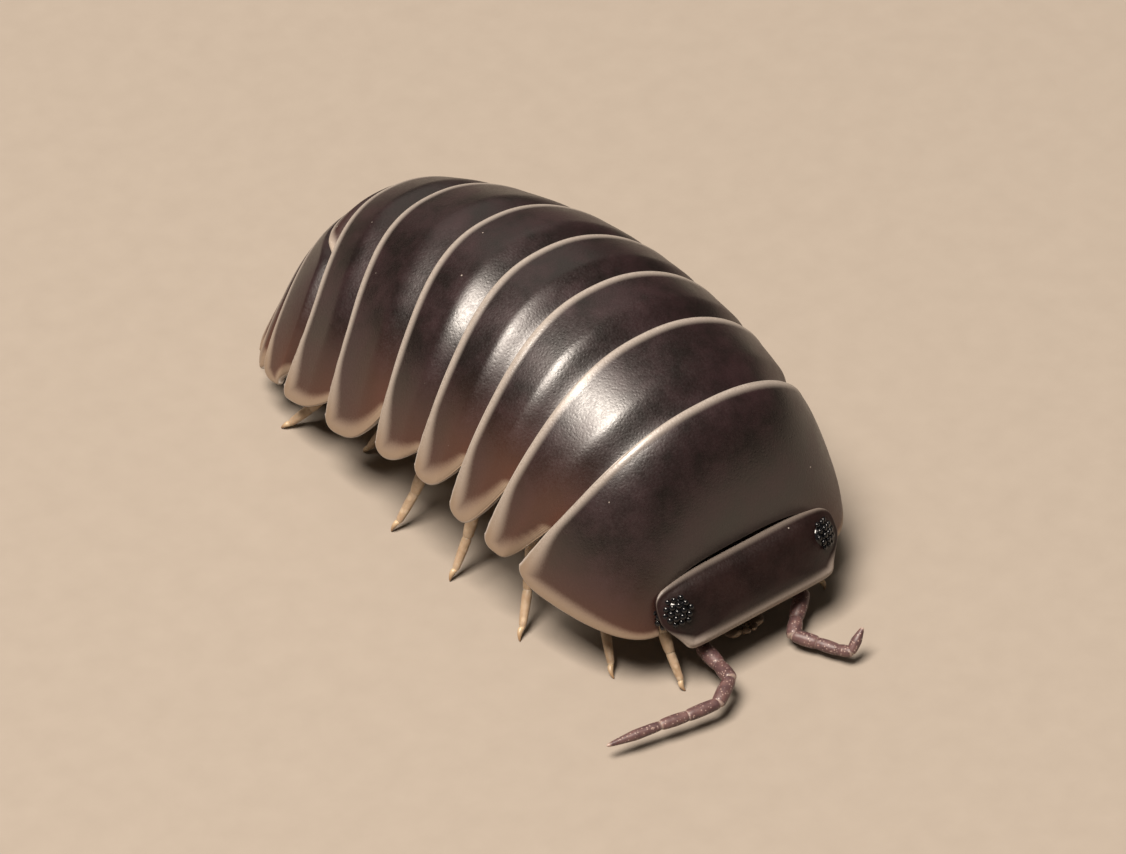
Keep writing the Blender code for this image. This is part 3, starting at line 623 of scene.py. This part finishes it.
def plate_shape(index, lobe_sizes, reach=0.0, retreat=0.0):
    """A plate as a closed thin shell: two sheets either side of a middle one, joined at a rounded edge.

    The outer sheet lies on the back's surface, sinks under the plate before it at its front and
    swells a little along its margin. u runs along the plate and t across it, from -1 to 1.
    Down the flanks retreat draws a plate's rear margin forward and reach does so with its front.
    rim is the distance from the margin in margin widths, and lobe e^(-d/LOBE_FADE) at a distance d
    from the lower edge.
    """
    start = index - 1
    first = index == 1
    side = back_surface(np.array([start, start + 1.0]), np.full(2, FLANK_PHI))
    side_length = float(np.linalg.norm(side[1] - side[0]))
    crest = back_surface(np.array([start, start + 1.0]), np.zeros(2))
    length = float(np.linalg.norm(crest[1] - crest[0]))
    t = clustered(*PLATE_ACROSS)[None, :]
    row = ROWS[index - 1]
    lowest = lower_limit(np.full(1, 0.5), -reach, lobe_sizes, side_length, row[1] - row[3])
    flank = smooth(*FLANK_TURN, np.abs(t) * lowest)
    met = -reach * flank
    low_u = np.zeros_like(t) if first else met - FRONT_REACH
    v = (1 + clustered(*PLATE_ALONG))[:, None] / 2
    u = low_u + (1 - retreat * flank - low_u) * v
    phi = lower_limit(u, -reach, lobe_sizes, side_length, row[1] - row[3]) * t
    surface = back_surface(start + u, phi)
    normal = back_normal(start + u, phi)
    free = (slice(None) if first else u[:, 0] > met[0, 0] + 0.02)
    edge = np.concatenate([surface[free, 0], surface[-1], surface[free, -1]])
    away = nearest(surface, edge)
    front = (u - low_u) * length
    round_off = rounding(away, EDGE_ROUND) * rounding(front, EDGE_ROUND)
    wider = (MARGIN_LOBE - MARGIN_TOP) * smooth(*WIDER_DOWN, np.abs(t)) * smooth(*WIDER_ALONG, u)
    width = MARGIN_TOP + wider
    past = u - met
    sunk = FRONT_DEPTH * (1 - smooth(*SHOULDER, past)) + FRONT_SLOPE * np.maximum(-past, 0)
    sunk = 0.0 if first else sunk
    swell = MARGIN_SWELL * (1 - smooth(width * SWELL_SPAN[0], width * SWELL_SPAN[1], away))
    middle = sunk + SHELL / 2
    outer = surface - normal * (middle - (SHELL / 2 + swell) * round_off)[..., None]
    inner = surface - normal * (middle + SHELL / 2 * round_off)[..., None]
    side_edge = np.concatenate([surface[:, 0], surface[:, -1]])
    lobe = np.exp(-nearest(surface, side_edge) / LOBE_FADE)
    return two_sheets(outer, inner, {"rim": away / width, "lobe": lobe})


def nearest(points, line):
    """Distance from each point of a grid to the nearest point of a line of points."""
    flat = points.reshape(-1, 3)
    squares = (np.sum(flat ** 2, axis=1)[:, None] - 2 * flat @ line.T + np.sum(line ** 2, axis=1)[None, :])
    return np.sqrt(np.maximum(squares.min(axis=1), 0.0)).reshape(points.shape[:-1])


def make_plates(shell_finish):
    """Body plates and tail plates. The second tail plate reaches forward where the first retreats."""
    for index, sizes in enumerate(LOBES, start=1):
        shape = plate_shape(index, sizes)
        put_piece(f"tergite_{index}", shape, shell_finish, "body_plate", f"pereonite_{index}")
    for number, (node, sizes) in enumerate(zip(TAIL_NODES, TAIL_LOBES), start=1):
        shape = plate_shape(BODY_PLATES + number, sizes, reach=float(number == 2), retreat=float(number == 1))
        put_piece(f"tail_plate_{number}", shape, shell_finish, "body_plate", node)


def belly_level(s):
    """The belly's height at s: a set rise above the margins' tips, and more towards the neck."""
    return rows_at(np.maximum(s, 1.0))[:, 3] + BELLY_RISE + NECK_RISE * np.maximum(0.0, 1.0 - s)


def belly_shape(index):
    """A sternite: a shallow trough across the belly with a cross ridge, a bell curve along it.

    z = level - BELLY_SAG (1 - a^2) - ridge, with a from -1 to 1 across.
    """
    v = (1 + clustered(20, 0.6)) / 2
    a = clustered(60, 0.5)
    foremost = BELLY_FIRST_SPAN[0] + BELLY_FIRST_SPAN[1] * v
    s = np.maximum(index - 1 + BELLY_SPAN[0] + BELLY_SPAN[1] * v, foremost)
    half = rows_at(np.maximum(s, 1.0))[:, 4] * BELLY_SHARE
    side_y = back_surface(s, np.full_like(s, FLANK_PHI))[:, 1]
    x = half[:, None] * a[None, :]
    ridge = BELLY_RIDGE * np.exp(-((v[:, None] - 0.5) / BELLY_RIDGE_WIDTH) ** 2) * np.ones_like(x)
    z = belly_level(s)[:, None] - BELLY_SAG * (1 - a[None, :] ** 2) - ridge
    y = side_y[:, None] + BELLY_BOW * a[None, :] ** 2
    sheet = np.stack([x, y * np.ones_like(x), z], axis=-1)
    from_side = (1 - np.abs(a))[None, :] * BELLY_SIZE[0]
    from_end = np.minimum(v, 1 - v)[:, None] * BELLY_SIZE[1]
    drop = np.zeros_like(sheet)
    drop[..., 2] = BELLY_THICK * rounding(np.minimum(from_side, from_end), BELLY_THICK)
    return two_sheets(sheet + drop, sheet - drop, {"along": np.repeat(v[:, None], len(a), axis=1)})


def make_belly(finish):
    for index in range(1, BODY_PLATES + 1):
        put_piece(f"sternite_{index}", belly_shape(index), finish, "underside", f"pereonite_{index}")


# The head.

FACE_MIDDLE = np.array([0.0, *HEAD_MIDDLE])
FACE_ALONG = np.array([0.0, math.cos(HEAD_LEAN), math.sin(HEAD_LEAN)])
FACE_OUT = np.array([0.0, -FACE_ALONG[2], FACE_ALONG[1]])


def head_border(turn):
    """The face plate's border, x and share along the plate, at an angle round it.

    Each quarter is a superellipse: of a low power behind, for nearly square rear corners, and a
    high one in front, where the corners are drawn in to the straight front rim's ends.
    """
    side, along = np.sin(turn), np.cos(turn)
    power = np.where(along > 0, HEAD_REAR_POWER, HEAD_FRONT_POWER)
    reach = (np.abs(side) ** power + np.abs(along) ** power) ** (-1 / power)
    x, a = HEAD_HALF * side * reach, along * reach
    drawn_in = HEAD_DRAW * smooth(-0.1, 0.95, -a)
    dip = HEAD_DIP * (1 - (x / HEAD_HALF) ** 2) * smooth(0.0, 1.0, a)
    return x * (1 - drawn_in), a - dip


def head_shape():
    """The head: rings from the middle of the face over its border and back to the neck.

    A ring at angle b has the border scaled by cos(b)^0.55 in front and cos(b)^0.6 behind. In front
    of the border the face stands out by HEAD_CROWN times sin(b)^2. Behind it the rings run back by
    HEAD_DEEP sin(b), nearly level above and down to the throat below, and narrow to the neck. A
    ridge, a bell curve across the border, makes the two rims.
    """
    level = np.array([0.0, *HEAD_BACK])
    turn = np.linspace(0, math.tau, 361)[:-1]
    x, a = head_border(turn)
    b = np.concatenate([-math.pi / 2 * (1 - np.linspace(0, 1, 60)[1:] ** 1.6)[:-1],
                        math.pi / 2 * np.linspace(0, 1, 50)[:-1] ** 1.3])[:, None]
    scale = np.cos(b) ** np.where(b < 0, 0.55, 0.6)
    narrow = 1 - (1 - HEAD_NECK_HALF / HEAD_HALF) * smooth(0.0, 0.9, b)
    front_side = smooth(0.1, 0.9, -a)[None, :]
    rear_side = smooth(0.45, 0.95, a)[None, :]
    across = x[None, :] * scale * narrow
    length = a[None, :] * scale * HEAD_FACE
    stand = np.where(b < 0, HEAD_CROWN * np.sin(b) ** 2, 0.0) * np.ones_like(across)
    back = np.where(b < 0, 0.0, HEAD_DEEP * np.sin(b)) * np.ones_like(across)
    lift = smooth(-0.6, 0.9, a)[None, :, None]
    border = np.stack([x, a * HEAD_FACE, np.zeros_like(x)], axis=-1)
    flat = np.stack([x[None, :] * scale, length, np.zeros_like(length)], axis=-1)
    distance = nearest(flat, border) * np.where(b < 0, 1.0, -1.0)
    width = HEAD_RIM_SIDE + (HEAD_RIM_REAR - HEAD_RIM_SIDE) * rear_side
    width = width + (HEAD_RIM_FRONT - HEAD_RIM_SIDE) * front_side
    ridge = np.exp(-((distance - 0.45 * width) / (0.42 * width)) ** 2)
    stand = stand + ridge * (HEAD_RIDGE_REAR * rear_side + HEAD_RIDGE_FRONT * front_side)
    grown = 1 + ridge * 0.015
    points = FACE_MIDDLE + across[..., None] * grown[..., None] * np.array([1.0, 0, 0])
    points = points + FACE_ALONG * (length * grown)[..., None] + FACE_OUT * stand[..., None]
    points = points + (level * lift - FACE_OUT * (1 - lift)) * back[..., None]
    poles = FACE_MIDDLE + FACE_OUT * HEAD_CROWN, FACE_MIDDLE + (level - FACE_OUT) / 2 * HEAD_DEEP
    all_points = np.concatenate([points.reshape(-1, 3), poles])
    # At the rear the colour fades out slowly, a soft painted sheen along the rim's ridge; at the sides it
    # leaves only a thin pale rim.
    faint = HEAD_REAR_SHEEN_FADE * rear_side + HEAD_FAINT_SIDE * (1 - np.maximum(rear_side, front_side))
    # The poles are far from the border, so their rim is large.
    rim = np.where(b < 0, distance / width, 0.9 - 12 * distance) + faint
    rim = np.concatenate([rim.ravel(), [9.0, 9.0]])
    lobe = np.concatenate([(smooth(0.0, 0.5, b) * np.ones_like(across)).ravel(), [0.0, 1.0]])
    return closed_rings(all_points, len(b), len(turn), {"rim": rim, "lobe": lobe})


def make_head(finish, lens):
    put_piece("head_capsule", head_shape(), finish, "head_plate", "head")
    for side, name in ((-1, "eye_right"), (1, "eye_left")):
        put_piece(name.replace("eye", "ocelli"), eye_shape(side), lens, "eye", name)


def sphere(centre, radii, around, up):
    """A closed ellipsoid: rings at equal steps of latitude and a pole at each end."""
    level = np.linspace(0, math.pi, up + 1)[1:-1]
    turn = np.arange(around) * math.tau / around
    rings = np.stack([np.sin(level)[:, None] * np.cos(turn), np.sin(level)[:, None] * np.sin(turn),
                      -np.cos(level)[:, None] * np.ones(around)], axis=-1)
    points = np.concatenate([rings.reshape(-1, 3), [[0, 0, -1.0], [0, 0, 1.0]]])
    return closed_rings(np.asarray(centre) + points * np.asarray(radii), up - 1, around, {})


def eye_shape(side):
    """Simple eyes on a low ellipsoid in the corner of the face, in rows like bricks, each a glossy dome.

    The ellipsoid's short axis leans from the face's own direction towards the side. Domes sit
    where rows EYE_ROWS apart and columns EYE_COLUMNS apart, every other row shifted by half a
    column, meet its surface, z = c sqrt(1 - x2/a2 - y2/b2).
    """
    sideways = np.array([float(side), 0.0, 0.0])
    out = FACE_OUT * math.cos(EYE_TURN) + sideways * math.sin(EYE_TURN)
    across = sideways * math.cos(EYE_TURN) - FACE_OUT * math.sin(EYE_TURN)
    axes = np.stack([across, FACE_ALONG, out])
    centre = FACE_MIDDLE + sideways * EYE_PLACE[0] + FACE_ALONG * EYE_PLACE[1] + FACE_OUT * EYE_PLACE[2]
    radii = np.array(EYE_RADII)
    body = sphere((0, 0, 0), radii * EYE_BODY, 40, 24)
    shapes = [(centre + body[0] @ axes, *body[1:])]
    rows, columns = np.meshgrid(np.arange(-3, 4), np.arange(-3, 4), indexing="ij")
    x = columns * EYE_COLUMNS + EYE_COLUMNS / 2 * (rows % 2)
    flat = np.stack([x.ravel(), (rows * EYE_ROWS).ravel()], axis=-1)
    inside = np.sum((flat / radii[:2]) ** 2, axis=1) < EYE_REACH
    for x, y in flat[inside]:
        z = radii[2] * math.sqrt(1 - (x / radii[0]) ** 2 - (y / radii[1]) ** 2)
        dome = sphere((x, y, z * EYE_SEAT), EYE_DOME, 18, 10)
        shapes.append((centre + dome[0] @ axes, *dome[1:]))
    return joined(shapes)


def mouth_shape():
    """Two broad jaw-feet side by side, each a flat barrel, with a small pair of jaws in front of them."""
    middle = np.array([0.0, *MOUTH_MIDDLE])
    shapes = []
    for side in (-1, 1):
        mirror = np.array([side, 1, 1])
        for start, end, widths, heights in (JAW_FOOT, JAW):
            shapes.append(barrel(middle + start * mirror, middle + end * mirror, widths, heights))
    return joined(shapes)


# The limbs.

def leg_corners(index, side, foot):
    """Root on the belly, hip, knee inside the lobe, shin and foot, as the solids have them."""
    s = index - 1 + np.array(LEG_ROOT_SPAN)
    level = belly_level(s)
    root_y = float(np.mean([belly_y(value, height) for value, height in zip(s, level)]))
    root = np.array([LEG_ROOT_X, root_y, level.min() - LEG_ROOT_DROP])
    foot = np.array([*foot, 0.0])
    hip = root + HIP_SHIFT
    knee = root + (foot - root) * KNEE_SHARE + (0.0, 0.0, KNEE_DROP)
    if index == 1:
        knee = knee + FRONT_KNEE_SHIFT
    shin = knee + (foot - knee) * SHIN_SHARE
    return np.array([root, hip, knee, shin, foot]) * (side, 1, 1)


def belly_y(s, level):
    """The y at which the plate at s, taken 0.6 mm inside the back, passes the belly's level."""
    phi = np.radians(np.linspace(20, 88, 120))
    place = np.full_like(phi, s)
    inner = back_surface(place, phi) - 0.6 * back_normal(place, phi)
    return float(np.interp(-level, -inner[:, 2], inner[:, 1]))


def segments(joints, all_widths, depth, lap, **settings):
    """Barrels from joint to joint, depth times as high as wide, each running past its joints by lap."""
    shapes = []
    for start, end, widths in zip(joints[:-1], joints[1:], all_widths):
        forward = unit(end - start)
        shapes.append(barrel(start - forward * lap[0], end + forward * lap[1], widths,
                             np.array(widths) * depth, **settings))
    return joined(shapes)


def make_leg(index, side, foot, finish, horn):
    """Five tapering segments along the leg's curve and a curved claw that touches the floor."""
    path = curve_through(leg_corners(index, side, foot), 24)
    steps = np.linalg.norm(np.diff(path, axis=0), axis=1)
    place = np.concatenate([[0], np.cumsum(steps)]) / steps.sum()
    joints = np.stack([np.interp(LEG_JOINTS, place, path[:, axis]) for axis in range(3)], axis=-1)
    word = "right" if side < 0 else "left"
    shape = segments(joints, LEG_RADII, LEG_DEPTH, LEG_LAP, reference=(0.0, 1.0, 0.2))
    put_piece(f"limb_{word}_{index}", shape, finish, "leg", f"leg_{word}_{index}")
    claw = barrel(joints[-2], joints[-1] + CLAW_LIFT, CLAW_WIDTHS, CLAW_HEIGHTS,
                  reference=(side, 0.0, 0.3), along=16, bend=CLAW_BEND)
    put_piece(f"claw_{word}_{index}", claw, horn, "leg")


def make_legs(finish, horn):
    for side, feet in ((-1, FEET_RIGHT), (1, FEET_LEFT)):
        for index, foot in enumerate(feet, start=1):
            make_leg(index, side, foot, finish, horn)


def make_antenna(name, corners, finish):
    """Segments from joint to joint, each a little thicker past its middle, and a tapering whip."""
    shape = segments(np.array(corners), ANTENNA_WIDTHS, ANTENNA_DEPTH, ANTENNA_LAP, around=28, along=28)
    put_piece(name.replace("antenna", "feeler"), shape, finish, "antenna", name)


def gill_shape(side, number):
    """A gill plate as a closed thin shell: narrower at its end, arched across by GILL_CROWN (1 - a^2)."""
    wide = GILL_WIDEST - GILL_STEP * number
    y, z = np.array(GILL_START) + (np.array(GILL_END) - GILL_START) * (number / GILL_PAIRS)
    z = z - GILL_DROP
    start = np.array([side * wide, y, z + GILL_FRONT_LIFT])
    end = np.array([side * wide * GILL_TURN_IN, y + GILL_LENGTH, z - GILL_REAR_DROP])
    forward = unit(end - start)
    across = unit(np.cross(forward, (0.0, 0.0, 1.0)))
    up = np.cross(across, forward)
    v = (1 + clustered(20, 0.85)) / 2
    a = clustered(24, 0.85)
    half = values_at(wide * np.array(GILL_SHARES), v) * (1 - smooth(0.82, 1.0, v) * 0.35)
    sheet = (start + (end - start) * v[:, None, None] + across * (half[:, None] * a)[..., None]
             + up * (GILL_CROWN * half[:, None] * (1 - a ** 2))[..., None])
    away = nearest(sheet, np.concatenate([sheet[:, 0], sheet[-1], sheet[:, -1]]))
    front = v[:, None] * float(np.linalg.norm(end - start)) * np.ones_like(away)
    bulge = rounding(away, GILL_THICK / 2) * rounding(front, GILL_THICK / 2)
    middle = sheet - up * GILL_THICK / 2
    thick = up * (GILL_THICK / 2 * bulge)[..., None]
    return two_sheets(middle + thick, middle - thick, {"along": v[:, None] * np.ones_like(away)})


def values_at(values, v):
    """A Catmull-Rom curve through single values, taken at 60 even places and read at shares v."""
    line = curve_through(np.column_stack([values, np.zeros(len(values))]), 16)[:, 0]
    even = np.linspace(0, 1, 60)
    return np.interp(v, even, np.interp(even, np.linspace(0, 1, len(line)), line))


def shield_surface(v, share):
    """The tail's end: a quadratic Bezier curve in v from under the last tail plate to a low arch.

    Its middle corner carries on in the plate's own direction. The arch at the tip is x = W sin^0.9
    and z between the side's and the crest's height by cos^0.9 of the angle, share times FLANK_PHI.
    """
    phi = share * FLANK_PHI
    under = back_surface(SHIELD_START, phi) - SHIELD_DEPTH * back_normal(SHIELD_START, phi)
    edge = back_surface(len(ROWS), phi) - SHIELD_DEPTH * back_normal(len(ROWS), phi)
    bend = edge + (edge - under) * SHIELD_RUN
    side, top = np.abs(np.sin(phi)), np.abs(np.cos(phi))
    half_width, side_y, side_z = SHIELD_SIDE
    tip_y, tip_z = SHIELD_TIP
    tip = np.stack([-np.sign(phi) * half_width * side ** 0.9, tip_y + (side_y - tip_y) * side ** 2,
                    side_z + (tip_z - side_z) * top ** 0.9], axis=-1)
    v = v[..., None]
    return under * (1 - v) ** 2 + 2 * bend * v * (1 - v) + tip * v ** 2


def shield_leaf(low, high):
    """A leaf of the tail's end between two curves of shares: a thin shell with round rear corners."""
    v = (1 + clustered(48, 0.85)) / 2
    a = (1 + clustered(64, 0.85)) / 2
    low, high = values_at(low, v)[:, None], values_at(high, v)[:, None]
    share = low + (high - low) * a
    place = v[:, None] * (1 - LEAF_CORNER * np.abs(2 * a - 1) ** 5)
    sheet = shield_surface(place, share)
    normal = unit(np.cross(np.gradient(sheet, axis=0), np.gradient(sheet, axis=1)))
    normal = normal * np.where(normal @ (0.0, 1.0, 0.5) < 0, -1.0, 1.0)[..., None]
    away = nearest(sheet, np.concatenate([sheet[:, 0], sheet[-1], sheet[:, -1]]))
    front = nearest(sheet, sheet[0])
    thick = SHELL / 2 * (rounding(away, EDGE_ROUND) * rounding(front, EDGE_ROUND))[..., None]
    middle = sheet - normal * SHELL / 2
    marks = {"rim": away / LEAF_MARGIN, "lobe": 1 - smooth(0.1, 1.2, away)}
    return two_sheets(middle + normal * thick, middle - normal * thick, marks)


def make_tail_end(shell_finish, pale_finish):
    telson, outside = np.array(TELSON_SHARES), np.array(UROPOD_SHARES)
    put_piece("telson_plate", shield_leaf(-telson, telson), shell_finish, "body_plate", "telson")
    for side, name in ((1, "right"), (-1, "left")):
        shape = shield_leaf(side * (telson + LEAF_GAP), side * outside)
        put_piece(f"tail_leaf_{name}", shape, shell_finish, "body_plate", f"uropod_{name}")
    gills = [gill_shape(side, number) for number in range(GILL_PAIRS) for side in (-1, 1)]
    put_piece("gill_plates", joined(gills), pale_finish, "underside", "pleopods")


# The stage: a pale floor, two soft lights and the photo's camera.

def towards(a, e):
    """The unit vector from the animal to a place at azimuth a, 0 in front of the head, and elevation e."""
    return Vector((math.sin(a) * math.cos(e), -math.cos(a) * math.cos(e), math.sin(e)))


def add_light(name, azimuth, elevation, distance, size, watts):
    """A square soft light, slightly warm, at an angle round the animal, facing it."""
    data = bpy.data.lights.new(name, "AREA")
    data.size, data.energy = size * MM, watts
    data.color = linear(LIGHT_COLOUR)[:3]
    item = bpy.data.objects.new(name, data)
    bpy.context.scene.collection.objects.link(item)
    back = towards(math.radians(azimuth), math.radians(elevation))
    item.location = (back * distance + Vector(LIGHT_AIM)) * MM
    item.rotation_mode = "QUATERNION"
    item.rotation_quaternion = (-back).to_track_quat("-Z", "Y")


def make_stage():
    half = FLOOR_HALF * MM
    corners = [(-half, -half, 0), (half, -half, 0), (half, half, 0), (-half, half, 0)]
    mesh = bpy.data.meshes.new("floor")
    mesh.from_pydata(corners, [], [(0, 1, 2, 3)])
    mesh.materials.append(floor_paper())
    floor = bpy.data.objects.new("floor", mesh)
    bpy.context.scene.collection.objects.link(floor)
    world = bpy.context.scene.world or bpy.data.worlds.new("world")
    bpy.context.scene.world = world
    world.use_nodes = True
    background = world.node_tree.nodes["Background"]
    background.inputs["Color"].default_value = linear(WORLD_COLOUR)
    background.inputs["Strength"].default_value = WORLD_STRENGTH
    bpy.context.scene.view_settings.view_transform = "Standard"
    for light in LIGHTS:
        add_light(*light)


def make_camera():
    """The camera stands CAMERA_DISTANCE from the animal along its viewing direction."""
    back = towards(CAMERA_AZIMUTH, CAMERA_ELEVATION)
    right = Vector((math.cos(CAMERA_AZIMUTH), math.sin(CAMERA_AZIMUTH), 0.0))
    up = back.cross(right)
    data = bpy.data.cameras.new("camera")
    data.sensor_width = SENSOR
    data.lens = FOCAL_PIXELS / FRAME_WIDTH * SENSOR
    data.clip_start, data.clip_end = 0.01, 5.0
    item = bpy.data.objects.new("camera", data)
    bpy.context.scene.collection.objects.link(item)
    item.location = (back * CAMERA_DISTANCE + right * CAMERA_SHIFT[0] + up * CAMERA_SHIFT[1]
                     + Vector(CAMERA_TARGET)) * MM
    item.rotation_mode = "QUATERNION"
    item.rotation_quaternion = Matrix((right, up, back)).transposed().to_quaternion()
    bpy.context.scene.camera = item


def make_animal():
    shell_finish = cuticle("dark_cuticle", dark="#130A0A", plum="#261317", warm="#4C2410", pale="#827870",
                           edge="#B4ABA3", gloss=0.255, fade=(0.62, 1.70), shine=0.76)
    # The head's wide, soft fade and grey rim colours paint a sheen on its rear rim; its front and side rims
    # are pale cuticle.
    head_finish = cuticle("head_cuticle_and_rim_sheen", dark="#150908", plum="#22100F", warm="#2E1A16", pale="#756A62",
                          edge="#A89C92", gloss=0.33, fade=(0.40, 1.70), shine=0.40)
    leg_finish = thin_skin("leg_skin", "#B09A82", "#9C846A", "#BDAA92", roughness=0.46, speck_size=0.3)
    feeler_finish = thin_skin("feeler_skin", "#6A504E", "#4C3638", "#A8938A", roughness=0.46,
                              speck_size=0.08)
    belly_finish = thin_skin("belly_skin", "#B8A48C", "#9A8068", "#CFC0AA", roughness=0.5, speck_size=0.4)
    make_plates(shell_finish)
    make_belly(belly_finish)
    make_head(head_finish, eye_lens())
    # The jaw-feet are darker and browner than the pale belly skin: painted shade, as they sit in the shadow
    # below the head's front rim.
    jaw_shade_painted_finish = thin_skin("jaw_skin_painted_shade", "#7C6A58", "#5E4E42", "#94826E", roughness=0.5, speck_size=0.4)
    put_piece("jaw_feet", mouth_shape(), jaw_shade_painted_finish, "underside", "mouthparts")
    make_legs(leg_finish, claw_horn())
    make_antenna("antenna_right", ANTENNA_RIGHT, feeler_finish)
    make_antenna("antenna_left", ANTENNA_LEFT, feeler_finish)
    make_tail_end(shell_finish, belly_finish)


make_camera()
make_stage()
make_animal()
